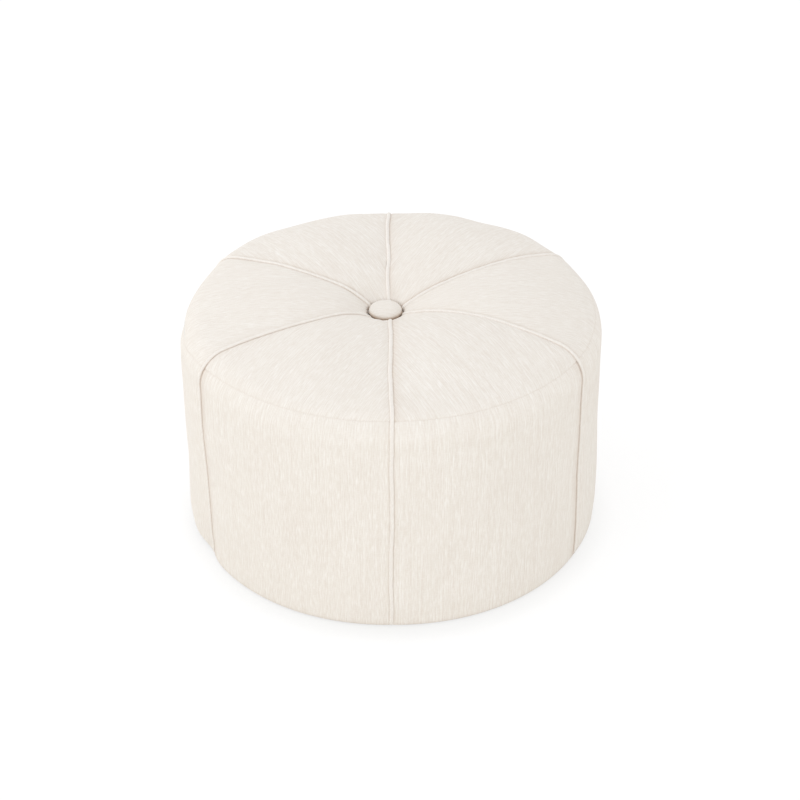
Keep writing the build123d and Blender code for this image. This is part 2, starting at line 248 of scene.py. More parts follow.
def even_rows(first, *counts):
    """Rows spaced evenly along the parts of a path, this many on the first part given and on each that follows."""
    return [(part, step / count) for part, count in enumerate(counts, first) for step in range(count)]


def grid_normals(points):
    """Outward normals of a grid whose rows run down the cloth and whose columns run anticlockwise."""
    return unit(np.cross(np.gradient(points, axis=0), np.gradient(points, axis=1)))


def grid_faces(index):
    """Quads of a grid of vertex numbers."""
    quads = np.stack([index[:-1, :-1], index[1:, :-1], index[1:, 1:], index[:-1, 1:]], axis=-1)
    return quads.reshape(-1, 4).tolist()


def cloth_shell(face, thickness):
    """Points and faces of a piece of cloth: its face, its back and the cut edges round it."""
    back = face - grid_normals(face) * thickness
    front = np.arange(face.shape[0] * face.shape[1]).reshape(face.shape[:2])
    rear = front + front.size
    faces = grid_faces(front) + grid_faces(rear[::-1])
    for edge, behind in (
        (front[0], rear[0]),
        (front[:, -1], rear[:, -1]),
        (front[-1, ::-1], rear[-1, ::-1]),
        (front[::-1, 0], rear[::-1, 0]),
    ):
        faces += grid_faces(np.stack([behind, edge]))
    return np.concatenate([face.reshape(-1, 3), back.reshape(-1, 3)]), faces


def tube(loops):
    """Points and faces of a closed body through rings of points, with a fan over both ends."""
    count, around = loops.shape[:2]
    index = np.arange(count * around).reshape(count, around)
    faces = grid_faces(np.concatenate([index, index[:, :1]], axis=1))
    for middle, ring in ((index.size, index[0]), (index.size + 1, index[-1, ::-1])):
        faces += [[middle, int(first), int(second)] for first, second in zip(ring, np.roll(ring, -1))]
    ends = np.stack([loops[0].mean(axis=0), loops[-1].mean(axis=0)])
    return np.concatenate([loops.reshape(-1, 3), ends]), faces


def with_ends(values):
    """The values of a tube's points, and those of its first and last point for the middles of its fans."""
    return np.concatenate([values, values[[0, -1]]])


def ring_body(loops):
    """Points and faces of a ring-shaped body from one closed loop of points at each azimuth."""
    index = np.arange(loops.shape[0] * loops.shape[1]).reshape(loops.shape[:2])
    index = np.concatenate([index, index[:1]], axis=0)
    return loops.reshape(-1, 3), grid_faces(np.concatenate([index, index[:, :1]], axis=1))


def around_axis(radius, azimuth, height):
    """Points in space from distances to the drum's axis, azimuths and heights."""
    return np.stack(np.broadcast_arrays(radius * np.cos(azimuth), radius * np.sin(azimuth), height), axis=-1)


def waves(points, lengths, seed):
    """Soft bumps between about -1 and 1: crossed waves of the lengths given, each run turned at random."""
    chance = np.random.default_rng(seed)
    total = np.zeros(points.shape[:-1])
    for length in lengths:
        along = unit(chance.normal(size=3))
        total += np.sin(points @ along * math.tau / length + chance.uniform(0, math.tau))
    return total / math.sqrt(len(lengths))


# Shape of the cover

# A path is a list of arcs (centre radius, centre height, radius, start angle, end angle)
# and straight runs (start radius, start height, end radius, end height).
# Each row of a grid lies on one of them, at a share of its length.
TOP_ROWS = (
    [(0, share) for share in (0.0, 0.4, 0.75, 0.95)]
    + even_rows(1, 10, 20, 44)
    + [(4, 1 - (1 - step / 16) ** 2) for step in range(17)]
)
SIDE_ROWS = [(0, (step / 16) ** 2) for step in range(16)] + even_rows(1, 86, 6, 4, 3) + [(4, 1.0)]

# The sewn welts stray a little from their even places: degrees beside the button, on the crown, the shoulder
# and the hem. The button sits to the left of the middle, and the back welt runs to it.
WELT_DRIFT = (
    (-3.0, -3.0, -1.2, -0.5),
    (6.0, 1.5, 0.0, 0.0),
    (2.4, 2.4, 1.2, 0.5),
    (-1.0, -1.0, -2.5, -3.0),
    (-1.4, -0.3, 0.0, -0.7),
    (1.9, 1.9, 1.9, 1.2),
)

# How deep the cloth turns in on the clockwise and anticlockwise side of each welt, on the top and on the side, and
# how dark the painted shade in that fold is. The seam allowances fill one side of most welts, so that one fold is
# open and the other nearly closed.
CREASES = (
    ((0.3, 1.4), (1.0, 1.0)),
    ((0.6, 0.2), (0.9, 0.8)),
    ((1.2, 1.1), (0.8, 1.2)),
    ((0.3, 1.35), (0.6, 2.1)),
    ((0.3, 0.55), (0.4, 0.65)),
    ((0.6, 1.1), (2.0, 0.6)),
)
# Broad painted shade where a top panel meets a welt, stronger at these: welt and side (0 clockwise, 1 anticlockwise).
PAINTED_ROLL_SHADE = {(1, 0): 0.13, (4, 1): 0.2}

# Where the padding lies fuller or thinner, as seen in the photograph: azimuth in degrees, and in millimetres
# the distance from the axis, the height, the outward move and the spread
PADDING_MOVES = (
    (330, 190, 380, 8.0, 95),
    (25, 205, 380, 6.0, 90),
    (152, 190, 380, 4.0, 80),
    (92, 292, 362, -6.0, 75),
    (118, 290, 364, -5.0, 60),
    (62, 294, 360, -3.5, 60),
    (45, 306, 350, 2.5, 45),
    (190, 321, 30, 3.0, 50),
    (206, 321, 12, -2.5, 22),
    (350, 321, 50, 3.5, 90),
)

# The dome is highest at this share of the side's radius. The well's floor starts at this share of the way to
# its wall, and rises this much to it.
DOME_APEX = 0.53
FLOOR_START = 0.35
FLOOR_RISE = 3 * MM
# How far the hem hangs under its stapled edge, how round it is, and how far in it has risen to that edge again
HEM_DROP = 4 * MM
HEM_CORNER = 4 * MM
HEM_RUN = 11 * MM


def welt_azimuth(cover, number, radius, height):
    """Azimuth of a welt at a place on its way out and down."""
    near, crown = 45 * MM - cover.crown_level, 0.35 * cover.side_radius - cover.crown_level
    stations = (near, crown, 0, cover.side_radius)
    drift = np.radians(np.interp(radius - height, stations, WELT_DRIFT[number % PANELS]))
    return WELT_AZIMUTHS[number % PANELS] + (number // PANELS) * math.tau + drift


def seam_angle(cover, azimuth):
    """How far up the shoulder the seam runs: it was sewn a little higher in front and far lower on the left."""
    degrees = np.degrees(azimuth) % 360
    front = fade(degrees - 273, 50, 4)
    left = fade(degrees - 178, 24.6, 2)
    return cover.seam_angle + np.radians(9 * front - 29 * left - 3)


def drawn_in(azimuth, from_seam, below=False):
    """How far the cover is drawn in on the left, above or below the shoulder seam, this far from it.

    The top was sewn in tighter there than the side, which stands proud of it in front and is hollow behind."""
    turn = (np.degrees(azimuth) - 168) % 360
    turn = np.minimum(turn, 360 - turn) * np.where(turn < 180, 1, -1)
    hollow = 6 * MM * fade(turn, 16, 4)
    both = np.maximum(6 * MM * fade(turn - 10, 14, 2), hollow)
    if below:
        return hollow * fade(from_seam, 40 * MM, 2) + (both - hollow) * fade(from_seam, 6 * MM, 2)
    return both * fade(from_seam, 26 * MM, 2)


def hem_flare(azimuth):
    """How much further out the side stands at its hem than above, on the right. It is tucked in at the left welt."""
    degrees = np.degrees(azimuth) % 360
    out = 3 * MM * fade(degrees - 335, 38, 2) + 1.5 * MM * fade(degrees - 196, 12, 2)
    return out - 6 * MM * fade(degrees - 206, 4.5, 2)


def hem_level(azimuth):
    """Height of the hem, which hangs closer to the floor than its stapled edge. The left panel ends higher."""
    degrees = np.degrees(azimuth) % 360
    raised = 1 / (1 + np.exp((degrees - 204.5) / 1.6)) / (1 + np.exp((172 - degrees) / 5))
    return HEM_LEVEL - HEM_DROP + 6 * MM * raised


def welt_sway(number, radius, height):
    """Sideways wander of a welt along its own length."""
    place = radius - height
    number = number % PANELS
    sway = 0.75 * MM * np.sin(place / (30 * MM) + number) + 0.2 * MM * np.sin(place / (11 * MM) + 2 * number)
    return sway * ramp(radius, 30 * MM, 50 * MM)


def well_edge(cover, azimuth):
    """Distance from the drum's axis to the wall of the well round the button, which sits off the middle."""
    radius = BUTTON_RADIUS + cover.well_margin
    return np.sqrt(radius**2 - (BUTTON_X * np.sin(azimuth)) ** 2) + BUTTON_X * np.cos(azimuth)


def side_reach(cover, share):
    """Distance from the drum's axis to the side's face, at a share of a panel's half width from its middle."""
    return cover.side_radius + (SIDE_MIDDLE[1].x - cover.side_radius) * np.cos(np.pi / 2 * share)


def shoulder_level(cover):
    """Height of the centre of the shoulder's arc."""
    return cover.crown_level - cover.dome_rise - cover.shoulder_radius


def top_path(cover, azimuth, share):
    """The top's outline from the well's floor over the lip, the dimple, the dome and the shoulder to the seam."""
    rise = cover.dome_rise + cover.crown_rise * np.cos(np.pi / 2 * share)
    apex = DOME_APEX * cover.side_radius
    shoulder = (side_reach(cover, share) - cover.shoulder_radius, shoulder_level(cover))
    reach = shoulder[0] - apex
    dome_radius = (reach**2 + rise**2) / (2 * rise) + cover.shoulder_radius
    dome = (apex, shoulder[1] + cover.shoulder_radius + rise - dome_radius)
    lip = (well_edge(cover, azimuth) + cover.lip_radius, cover.crown_level - cover.lip_drop)
    start = np.pi / 2 - np.arcsin((cover.dimple_reach - apex) / dome_radius)
    away = (lip[0] - dome[0] - dome_radius * np.cos(start), lip[1] - dome[1] - dome_radius * np.sin(start))
    along = away[0] * np.cos(start) + away[1] * np.sin(start)
    dimple_radius = (cover.lip_radius**2 - away[0] ** 2 - away[1] ** 2) / (2 * (along + cover.lip_radius))
    dimple = (
        dome[0] + (dome_radius - dimple_radius) * np.cos(start),
        dome[1] + (dome_radius - dimple_radius) * np.sin(start),
    )
    lip_end = np.arctan2(lip[1] - dimple[1], lip[0] - dimple[0])
    dome_end = np.arctan2(shoulder[1] - dome[1], shoulder[0] - dome[0])
    wall = lip[0] - cover.lip_radius
    return (
        (FLOOR_START * wall, WELL_FLOOR, wall, WELL_FLOOR + FLOOR_RISE),
        (*lip, cover.lip_radius, np.pi, lip_end),
        (*dimple, dimple_radius, lip_end, start),
        (*dome, dome_radius, start, dome_end),
        (*shoulder, cover.shoulder_radius, dome_end, seam_angle(cover, azimuth)),
    )


def side_path(cover, azimuth, share):
    """The side's outline from the seam round the shoulder, down the wall and under along the hem."""
    reach = side_reach(cover, share)
    level, low = shoulder_level(cover), hem_level(azimuth)
    corner = (reach + hem_flare(azimuth) - HEM_CORNER, low + HEM_CORNER)
    return (
        (reach - cover.shoulder_radius, level, cover.shoulder_radius, seam_angle(cover, azimuth), 0.0),
        (reach, level, corner[0] + HEM_CORNER, corner[1]),
        (*corner, HEM_CORNER, 0.0, -np.pi / 2),
        (corner[0], low, corner[0] - HEM_RUN, HEM_LEVEL),
        (corner[0] - HEM_RUN, HEM_LEVEL, corner[0] - cover.hem_width, HEM_LEVEL),
    )


def profile_rows(path, rows, shape):
    """Distance from the axis and height of every point of a grid, row by row along a path."""
    profile = np.empty((*shape, 2))
    for row, (part, share) in enumerate(rows):
        values = [np.broadcast_to(value, shape)[row] for value in path[part]]
        if len(values) == 5:
            angle = values[3] + (values[4] - values[3]) * share
            profile[row, :, 0] = values[0] + values[2] * np.cos(angle)
            profile[row, :, 1] = values[1] + values[2] * np.sin(angle)
        else:
            profile[row, :, 0] = values[0] + (values[2] - values[0]) * share
            profile[row, :, 1] = values[1] + (values[3] - values[1]) * share
    return profile


def padding_move(cover, points):
    """Outward movement of the cloth where the padding under it is uneven."""
    broad = waves(points, (0.31, 0.24, 0.19, 0.27), 4)
    small = waves(points, (0.11, 0.085, 0.07, 0.095, 0.06), 11)
    move = cover.unevenness * (0.6 * broad + 0.4 * small)
    for degrees, radius, height, out, spread in PADDING_MOVES:
        middle = around_axis(radius * MM, math.radians(degrees), height * MM)
        move = move + out * MM * np.exp(-((points - middle) ** 2).sum(axis=-1) / (spread * MM) ** 2)
    radius = np.hypot(points[..., 0], points[..., 1])
    return move * ramp(radius, 42 * MM, 60 * MM) * ramp(points[..., 2], HEM_LEVEL, 25 * MM)


# Distances from a panel's edge to its first columns, and the share of the half width that each may take.
EDGE_COLUMNS = ((0, 0), (0.45, 0.03), (0.9, 0.07), (1.4, 0.12), (2.1, 0.17), (3.2, 0.24), (5.0, 0.32), (8.5, 0.42))
MIDDLE_COLUMNS = 25


def panel_grid(cover, number, path, rows):
    """Face of a panel before it is creased, and for each point its distances from the clockwise and
    anticlockwise edges, its length down the cloth and its turn from the panel's middle."""
    count = len(rows)
    middle = profile_rows(path(cover, PANEL_AZIMUTHS[number], np.zeros((count, 1))), rows, (count, 1))
    low = welt_azimuth(cover, number + PANELS - 1, middle[..., 0], middle[..., 1]) - math.tau
    high = welt_azimuth(cover, number, middle[..., 0], middle[..., 1])
    centre, half = (low + high) / 2, (high - low) / 2
    edge = WELT_RADIUS - 1.0 * MM
    out = middle[..., 0]
    open_half = half - np.arcsin(np.minimum(edge / out, 0.4))
    near = [open_half - np.minimum(far * MM, share * open_half * out) / out for far, share in EDGE_COLUMNS]
    inner = np.linspace(-1, 1, MIDDLE_COLUMNS + 2)[1:-1] * near[-1]
    turn = np.concatenate([-np.concatenate(near, axis=1), inner, np.concatenate(near[::-1], axis=1)], axis=1)
    profile = profile_rows(path(cover, centre + turn, turn / half), rows, turn.shape)
    steps = np.linalg.norm(np.diff(profile, axis=0), axis=-1)
    length = np.concatenate([0 * steps[:1], np.cumsum(steps, axis=0)])
    radius = profile[..., 0]
    beside = [(radius * np.sin(half + side * turn) - edge).clip(0) for side in (1, -1)]
    sway = sum(
        welt_sway(number + PANELS - 1 + side, radius, profile[..., 1]) * fade(beside[side], 16 * MM)
        for side in (0, 1)
    )
    points = around_axis(radius, centre + turn + sway / radius, profile[..., 1])
    return points, beside, length, turn


def creased(cover, number, part, points, beside, from_seam, move, fading):
    """The face moved outwards by move and turned in beside the welts and at the shoulder seam, and the painted shade
    for its creases and seam.
    """
    # Painted shade: a faint line along the shoulder seam, a darker one beside each welt as deep as its entry in
    # CREASES, and on the top a broad soft shade.
    shade = 0.12 * fade(from_seam, 0.8 * MM)
    for edge, welt in ((0, number + PANELS - 1), (1, number)):
        depth = CREASES[welt % PANELS][part][1 - edge]
        fold = min(depth, 1.4) * cover.crease_depth * fade(beside[edge], cover.crease_width, 1.3)
        fold += depth * 0.5 * MM * fade(beside[edge], 4 * MM)
        fold -= 0.5 * MM * fade(beside[edge] - 12 * MM, 8 * MM, 2)
        move = move - fading * fold
        reach = max(depth, 1.0) ** 1.9 * 1.2 * MM
        shade += min(0.45 * depth**1.5, 0.95) * fade(beside[edge], reach)
        if part == 0:
            shade += PAINTED_ROLL_SHADE.get((welt % PANELS, 1 - edge), 0.04) * fade(beside[edge], 9 * MM, 1.5)
    move = move - cover.seam_depth * fade(from_seam, 1.5 * MM, 1.4)
    return points + grid_normals(points) * move[..., None], shade


def gathered(length, spacing, stray, over, beside, reach):
    """Small gathers along the welts, about this far apart, that stray over a longer way and end at this reach."""
    return np.sin(length / spacing * math.tau + stray * np.sin(length / over)) * fade(np.minimum(*beside), reach)


def top_face(cover, number):
    """Face of one top panel, the painted shade for its creases, seam and well, and the cloth's own coordinates in
    millimetres.
    """
    points, beside, length, turn = panel_grid(cover, number, top_path, TOP_ROWS)
    radius = np.hypot(points[..., 0], points[..., 1])
    azimuth = np.arctan2(points[..., 1], points[..., 0])
    from_seam = (length[-1:] - length).clip(0)
    gathers = gathered(length, 17 * MM, 3, 60 * MM, beside, 9 * MM)
    pleats = np.sin(turn / HALF_ANGLE * 9.5 + number * 5) * fade((radius - 34 * MM).clip(0), 16 * MM)
    move = padding_move(cover, points) + 0.16 * MM * gathers * ramp(radius, 45 * MM, 40 * MM)
    move += 0.45 * MM * pleats * ramp(radius, 28 * MM, 6 * MM)
    move -= drawn_in(azimuth, from_seam)
    fading = ramp(radius, 34 * MM, 20 * MM, 0.3)
    face, shade = creased(cover, number, 0, points, beside, from_seam, move, fading)
    # Painted shade low in the well round the button
    painted_well_shade = 0.5 * np.clip((WELL_FLOOR + 9 * MM - face[..., 2]) / (6 * MM), 0, 1) * (radius < 60 * MM)
    along = length + 30 * MM
    cloth = np.stack([along * np.sin(turn), along * np.cos(turn), 0 * turn + 0.71 * number * MM], axis=-1) / MM
    return face, np.maximum(shade, painted_well_shade).clip(0, 1), cloth


def side_face(cover, number):
    """Face of one side panel, the painted shade for its creases, seam and hem, and the cloth's own coordinates in
    millimetres.
    """
    points, beside, length, turn = panel_grid(cover, number, side_path, SIDE_ROWS)
    above_hem = points[..., 2] - HEM_LEVEL
    gathers = gathered(length, 21 * MM, 2, 75 * MM, beside, 8 * MM)
    fading = ramp(above_hem, 0, 5 * MM, 0.2)
    azimuth = np.arctan2(points[..., 1], points[..., 0])
    move = padding_move(cover, points) + 0.16 * MM * gathers * fading - drawn_in(azimuth, length, below=True)
    face, shade = creased(cover, number, 1, points, beside, length, move, fading)
    # Painted shade along the bottom edge, just above the hem
    shade = np.maximum(shade, 0.12 * fade(above_hem.clip(0), 2.5 * MM))
    cloth = np.stack([cover.side_radius * turn, length, 0 * turn + (0.5 + 0.83 * number) * MM], axis=-1) / MM
    return face, shade.clip(0, 1), cloth


def add_panels(cover, part, make_face, material):
    """The six panels of the top or the side."""
    for number in range(PANELS):
        face, shade, cloth = make_face(cover, number)
        names = (f"{part}_cover_{number + 1}", f"{part}_panel_{number + 1}", "cover_linen")
        on_both_faces = (np.concatenate([values, values]) for values in (cloth.reshape(-1, 3), shade.ravel()))
        panel = add_piece(*names, material, *cloth_shell(face, FABRIC), *on_both_faces)


def welt_loops(cover, number):
    """Rings of points round a welt from the button to the hem, and the length to each ring."""
    profiles = []
    for path, part in ((top_path, TOP_ROWS[4:-1]), (side_path, SIDE_ROWS[:-8])):
        shape = (len(part), 1)
        azimuth = np.full(shape, WELT_AZIMUTHS[number] + math.radians(WELT_DRIFT[number][-1]))
        profiles.append(profile_rows(path(cover, azimuth, np.ones(shape)), part, shape)[:, 0])
    profile = np.concatenate(profiles)
    steps = np.linalg.norm(np.diff(profile, axis=0), axis=-1)
    length = np.concatenate([[0], np.cumsum(steps)])
    even = np.linspace(0, length[-1], 300)
    profile = np.stack([np.interp(even, length, profile[:, axis]) for axis in (0, 1)], axis=-1)
    radius, height = profile.T
    azimuth = welt_azimuth(cover, number, radius, height)
    points = around_axis(radius, azimuth + welt_sway(number, radius, height) / radius, height)
    tangent = unit(np.gradient(points, axis=0))
    aside = around_axis(1.0, azimuth + np.pi / 2, 0.0)
    out = unit(np.cross(tangent, aside))
    turned_in = np.clip((even - even[-1] + 9 * MM) / (9 * MM), 0, 1) * 2.2 * MM
    past_seam = even - length[len(TOP_ROWS[4:-1])]
    tight = np.where(past_seam < 0, drawn_in(azimuth, past_seam), drawn_in(azimuth, past_seam, below=True))
    points = points + out * (padding_move(cover, points) - cover.welt_sink - turned_in - tight)[:, None]
    thick = WELT_RADIUS * (1 + 0.04 * np.sin(even / (5 * MM) + number) + 0.03 * np.sin(even / (2.3 * MM)))
    around = np.linspace(0, math.tau, 18, endpoint=False)
    spokes = np.cos(around)[:, None] * out[:, None] + np.sin(around)[:, None] * aside[:, None]
    return points[:, None] + thick[:, None, None] * spokes, even, around


# Materials


def pattern_layers(tree, vector, ground, layers):
    """Colour of a ground with soft noise patterns laid over it, and the socket of each pattern.

    A layer holds the pattern's size in millimetres in three directions, the noise values between which it
    appears, how much it covers at most, and its colour."""
    colour = linear(ground) if isinstance(ground, str) else ground
    patterns = []
    for size_mm, (low, high), cover, code in layers:
        scale = [1 / size for size in size_mm]
        place = add_node(tree, "VectorMath", {"operation": "MULTIPLY"}, {0: vector, 1: scale}).outputs[0]
        noise = add_node(tree, "TexNoise", {}, {"Vector": place, "Scale": 1.0, "Detail": 2.0}).outputs["Fac"]
        band = {"Value": noise, "From Min": low, "From Max": high, "To Max": cover}
        patterns.append(add_node(tree, "MapRange", {}, band).outputs[0])
        coat = {0: patterns[-1], 6: colour, 7: linear(code)}
        colour = add_node(tree, "Mix", {"data_type": "RGBA"}, coat).outputs[2]
    return colour, patterns


def object_mm(tree):
    """Socket of the place on the object in millimetres."""
    place = add_node(tree, "TexCoord").outputs["Object"]
    return add_node(tree, "VectorMath", {"operation": "SCALE"}, {0: place, "Scale": 1 / MM}).outputs[0]


def finish_surface(material, colour, height, bump_mm, strength, values):
    """Ends a material: a principled shader with the colour and a bump of this real height."""
    tree = material.node_tree
    relief = {"Strength": strength, "Distance": bump_mm * MM, "Height": height}
    bump = add_node(tree, "Bump", {}, relief).outputs[0]
    shader = add_node(tree, "BsdfPrincipled", {}, {**values, "Base Color": colour, "Normal": bump})
    add_node(tree, "OutputMaterial", {}, {"Surface": shader.outputs[0]})
    return material


def patterned(name, ground, layers, relief, bump_mm, strength, values):
    """Material of a ground colour with patterns laid over it. The pattern of this number is also its relief."""
    material, tree = new_material(name)
    colour, patterns = pattern_layers(tree, object_mm(tree), ground, layers)
    return finish_surface(material, colour, patterns[relief], bump_mm, strength, values)


def slub_linen(name, cloth, pale=0.0):
    """Linen-look upholstery cloth, plain woven from uneven yarns: matt, with thick pale slubs along the grain."""
    material, tree = new_material(name)
    vector = add_node(tree, "Attribute", {"attribute_name": "cloth"}).outputs["Vector"]
    # Single yarns keep their tone over a long way, and slubs one yarn wide come and go within 20 mm or so.
    layers = (
        ((1.3, 140, 1), (0.28, 0.72), 1.0, cloth.ground),
        ((1.4, 15, 1), (0.45, 0.72), 0.75, cloth.slub),
        ((1.2, 19, 1), (0.45, 0.70), 0.65, cloth.shade),
        ((5, 1.4, 1), (0.42, 0.72), 0.25, cloth.slub),
        ((60, 110, 1), (0.35, 0.65), 0.12, cloth.shade),
    )
    colour, patterns = pattern_layers(tree, vector, cloth.shade, layers)
    # Painted shade: a value stored on the mesh darkens the cloth towards a brown in its creases, seams and hollows.
    seam = add_node(tree, "Attribute", {"attribute_name": "painted_shade"}).outputs["Fac"]
    seam = add_node(tree, "Math", {"operation": "MULTIPLY"}, {0: seam, 1: 0.85}).outputs[0]
    # Over the yarns go a painted highlight, a share of the slub colour given by pale, and then the painted shade.
    for share, code in ((pale, cloth.slub), (seam, cloth.painted_shade)):
        coat = {0: share, 6: colour, 7: linear(code)}
        colour = add_node(tree, "Mix", {"data_type": "RGBA"}, coat).outputs[2]
    # Yarns lie 0.9 mm apart. They pass over one another, and the slubs stand a little proud.
    pitch = math.tau / 20 / (2 * 0.9)
    yarns = {"Vector": vector, "Scale": pitch, "Distortion": 0.7, "Detail": 1.0, "Detail Scale": 0.6}
    over, under = (
        add_node(tree, "TexWave", {"bands_direction": direction}, yarns).outputs["Fac"] for direction in ("X", "Y")
    )
    weave = add_node(tree, "Math", {"operation": "MULTIPLY"}, {0: over, 1: under}).outputs[0]
    height = add_node(tree, "Math", {"operation": "MULTIPLY_ADD"}, {0: patterns[1], 1: 0.8, 2: weave}).outputs[0]
    matt = {"Roughness": 0.92, "Specular IOR Level": 0.25, "Sheen Weight": 0.1, "Sheen Roughness": 0.6}
    return finish_surface(material, colour, height, 0.35, 0.3, matt)


def polyester_wadding():
    """Bonded polyester fibre, carded into a fluffy sheet: white, matt and stringy."""
    material, tree = new_material("Bonded polyester wadding")
    layers = (((22, 22, 22), (0.3, 0.7), 0.6, "#EFEFEC"), ((1.2, 14, 6), (0.35, 0.7), 1.0, "#F7F7F4"))
    colour, patterns = pattern_layers(tree, object_mm(tree), "#E9E9E6", layers)
    height = add_node(tree, "Math", {"operation": "ADD"}, {0: patterns[0], 1: patterns[1]}).outputs[0]
    fluff = {"Roughness": 1.0, "Specular IOR Level": 0.1, "Sheen Weight": 0.3}
    return finish_surface(material, colour, height, 1.5, 0.5, fluff)


def cut_foam():
    """Polyurethane foam, cut from the block: cream, matt, with open cells under a millimetre, drawn at 1.5 mm."""
    material, tree = new_material("Cut polyurethane foam")
    vector = object_mm(tree)
    cells = add_node(tree, "TexVoronoi", {"feature": "F1"}, {"Vector": vector, "Scale": 1 / 1.5}).outputs[0]
    colour, _ = pattern_layers(tree, vector, "#EEE6C9", (((40, 40, 40), (0.3, 0.7), 1.0, "#F3EDD8"),))
    return finish_surface(material, colour, cells, 0.8, 0.6, {"Roughness": 1.0, "Specular IOR Level": 0.15})


def needled_felt():
    """Felt of mixed waste fibres, needled into a sheet: grey with short flecks of other colours."""
    layers = (((0.9, 6, 6), (0.35, 0.7), 1.0, "#CCCAC5"), ((5, 2, 1.2), (0.62, 0.72), 1.0, "#7F8796"))
    dull = {"Roughness": 1.0, "Specular IOR Level": 0.1}
    return patterned("Needled fibre felt", "#B3B0AA", layers, 0, 0.9, 0.5, dull)


def spun_bonded_cloth():
    """Black polypropylene cloth, spun-bonded and pressed with small dots 2.5 mm apart: matt with a faint gloss."""
    material, tree = new_material("Black spun-bonded polypropylene")
    vector = object_mm(tree)
    spots = {"Vector": vector, "Scale": 1 / 2.5, "Randomness": 0.15}
    dots = add_node(tree, "TexVoronoi", {"feature": "F1"}, spots).outputs[0]
    colour, _ = pattern_layers(tree, vector, "#18181A", (((0.8, 7, 5), (0.35, 0.7), 1.0, "#2A2A2C"),))
    return finish_surface(material, colour, dots, 0.25, 0.6, {"Roughness": 0.7, "Specular IOR Level": 0.4})


def birch_plywood():
    """Birch plywood, sawn and left bare: pale figured faces, and edges striped by plies 1.5 mm thick."""
    material, tree = new_material("Sawn birch plywood")
    vector = object_mm(tree)
    layers = (((60, 3.5, 40), (0.35, 0.68), 1.0, "#E3CBA3"), ((9, 0.7, 9), (0.6, 0.75), 0.5, "#B08F62"))
    face, patterns = pattern_layers(tree, vector, "#D3B487", layers)
    stripes = {"Vector": vector, "Scale": math.tau / 20 / 3.0, "Distortion": 0.4}
    plies = add_node(tree, "TexWave", {"bands_direction": "Z"}, stripes).outputs["Fac"]
    tones = {0: plies, 6: linear("#A98254"), 7: linear("#D9BC8E")}
    edge = add_node(tree, "Mix", {"data_type": "RGBA"}, tones).outputs[2]
    normal = add_node(tree, "NewGeometry").outputs["True Normal"]
    upright = add_node(tree, "SeparateXYZ", {}, {0: normal}).outputs["Z"]
    level = add_node(tree, "Math", {"operation": "ABSOLUTE"}, {0: upright}).outputs[0]
    colour = add_node(tree, "Mix", {"data_type": "RGBA"}, {0: level, 6: edge, 7: face}).outputs[2]
    return finish_surface(material, colour, patterns[0], 0.2, 0.4, {"Roughness": 0.75})


def planed_pine():
    """Pine, planed and left bare: straight growth rings along the post, darker late wood about 4 mm apart."""
    material, tree = new_material("Planed pine")
    vector = object_mm(tree)
    along = add_node(tree, "VectorMath", {"operation": "MULTIPLY"}, {0: vector, 1: (1, 1, 0.03)}).outputs[0]
    growth = {"Vector": along, "Scale": math.tau / 20 / 4.0, "Distortion": 2.5, "Detail": 1.0, "Detail Scale": 0.05}
    saw = {"bands_direction": "DIAGONAL", "wave_profile": "SAW"}
    rings = add_node(tree, "TexWave", saw, growth).outputs["Fac"]
    tones = {0: rings, 6: linear("#E6CB9C"), 7: linear("#C99C62")}
    colour = add_node(tree, "Mix", {"data_type": "RGBA"}, tones).outputs[2]
    colour, patterns = pattern_layers(tree, vector, colour, (((0.8, 0.8, 40), (0.35, 0.7), 0.3, "#D9B67F"),))
    return finish_surface(material, colour, patterns[0], 0.4, 0.4, {"Roughness": 0.65})


def smooth_hardboard():
    """Hardboard, pressed from wood fibre against a polished plate: even brown with fine darker fibres."""
    layers = (((1.5, 1.5, 2.5), (0.35, 0.7), 1.0, "#85623F"), ((35, 35, 50), (0.3, 0.7), 0.3, "#553A28"))
    return patterned("Pressed hardboard", "#6A4A33", layers, 0, 0.1, 0.4, {"Roughness": 0.5})


def turned_beech():
    """Beech, turned to a dowel and sanded: warm pink-brown with short dark rays along the grain."""
    layers = (((3.5, 0.5, 0.5), (0.6, 0.72), 1.0, "#9E7246"),)
    return patterned("Turned beech", "#CFA577", layers, 0, 0.08, 0.3, {"Roughness": 0.55})


def zinc_plated_steel():
    """Steel, stamped or drawn and then zinc plated: bright grey, softly blotched."""
    layers = (((5, 5, 5), (0.3, 0.7), 1.0, "#CFCFCB"), ((0.3, 6, 6), (0.4, 0.7), 0.4, "#C2C3C0"))
    return patterned("Zinc-plated steel", "#B9BAB8", layers, 1, 0.08, 0.3, {"Metallic": 1.0, "Roughness": 0.32})


def waxed_twine():
    """Polyester twine, laid from three strands and waxed: strands 2 mm long across the cord, slightly glossy."""
    material, tree = new_material("Waxed polyester twine")
    lay = {"Vector": object_mm(tree), "Scale": math.tau / 20 / 2.0, "Distortion": 0.5}
    strands = add_node(tree, "TexWave", {"bands_direction": "DIAGONAL"}, lay).outputs["Fac"]
    tones = {0: strands, 6: linear("#B9AD8E"), 7: linear("#E2D9BF")}
    colour = add_node(tree, "Mix", {"data_type": "RGBA"}, tones).outputs[2]
    return finish_surface(material, colour, strands, 0.3, 0.7, {"Roughness": 0.5})


def moulded_polyethylene():
    """Polyethylene, injection moulded in black: dull and slightly waxy, with a fine spark-eroded grain."""
    layers = (((7, 7, 3), (0.35, 0.7), 1.0, "#262626"), ((0.6, 0.6, 0.6), (0.35, 0.65), 0.4, "#1B1B1B"))
    dull = {"Roughness": 0.5, "IOR": 1.51}
    return patterned("Black moulded polyethylene", "#141414", layers, 1, 0.15, 0.4, dull)


# Pieces


